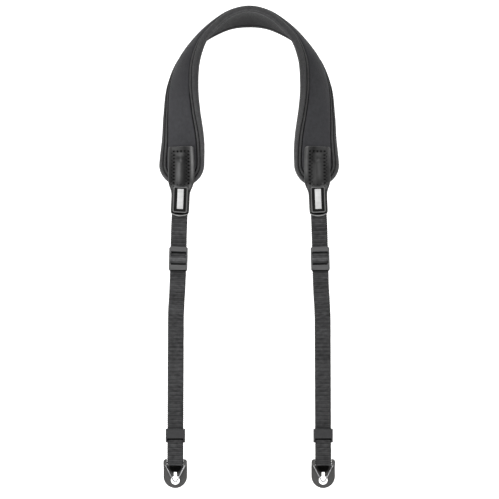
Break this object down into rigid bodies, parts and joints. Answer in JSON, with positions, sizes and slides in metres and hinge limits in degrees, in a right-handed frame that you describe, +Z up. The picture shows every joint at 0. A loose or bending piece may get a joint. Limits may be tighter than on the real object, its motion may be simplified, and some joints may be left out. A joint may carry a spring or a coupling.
{
  "type": "camera neck strap",
  "caption": "Padded neck band with a webbing leg at each end, each with a slide, a keeper, a triangular ring and a leather flap, hanging as worn.",
  "frame": {"origin": "neck side of the padded band, in the middle of its arch, where it rests on the neck", "axes": "+Z up, legs hang toward -Z, +Y from the front of the strap to its back, left leg at -X"},
  "size_m": [0.1724, 0.0455, 0.4619],
  "materials": {
    "padding": "matte knit over foam",
    "panel": "smooth knit over foam",
    "leather": "semi-gloss grained leather",
    "label": "matte with a paler raised rim",
    "webbing": "ribbed weave",
    "plastic": "fine matte",
    "steel": "polished wire",
    "flap": "matte leather"
  },
  "bodies": {
    "strap": {"neck_pad": "padding", "pad_panel": "panel", "tab_left": "leather", "tab_right": "leather", "label_left": "label", "label_right": "label", "webbing_left": "webbing", "webbing_right": "webbing", "slide_left": "plastic", "slide_right": "plastic"},
    "keeper_left": {"keeper_left": "plastic"},
    "keeper_right": {"keeper_right": "plastic"},
    "ring_left": {"ring_left": "steel", "flap_left": "flap"},
    "ring_right": {"ring_right": "steel", "flap_right": "flap"}
  },
  "joints": [
    {"name": "keeper_left_slide", "type": "slide", "parent": "strap", "child": "keeper_left", "axis": [0.0041, 0, 1], "range_m": [-0.008, 0.09]},
    {"name": "keeper_right_slide", "type": "slide", "parent": "strap", "child": "keeper_right", "axis": [-0.0041, 0, 1], "range_m": [-0.008, 0.09]},
    {"name": "ring_left_swing", "type": "hinge", "parent": "strap", "child": "ring_left", "pos_m": [-0.07057, -0.01861, -0.42939], "axis": [-1, 0, 0.0041], "range_deg": [-75, 75]},
    {"name": "ring_right_swing", "type": "hinge", "parent": "strap", "child": "ring_right", "pos_m": [0.07057, -0.01861, -0.42939], "axis": [-1, 0, -0.0041], "range_deg": [-75, 75]}
  ]
}
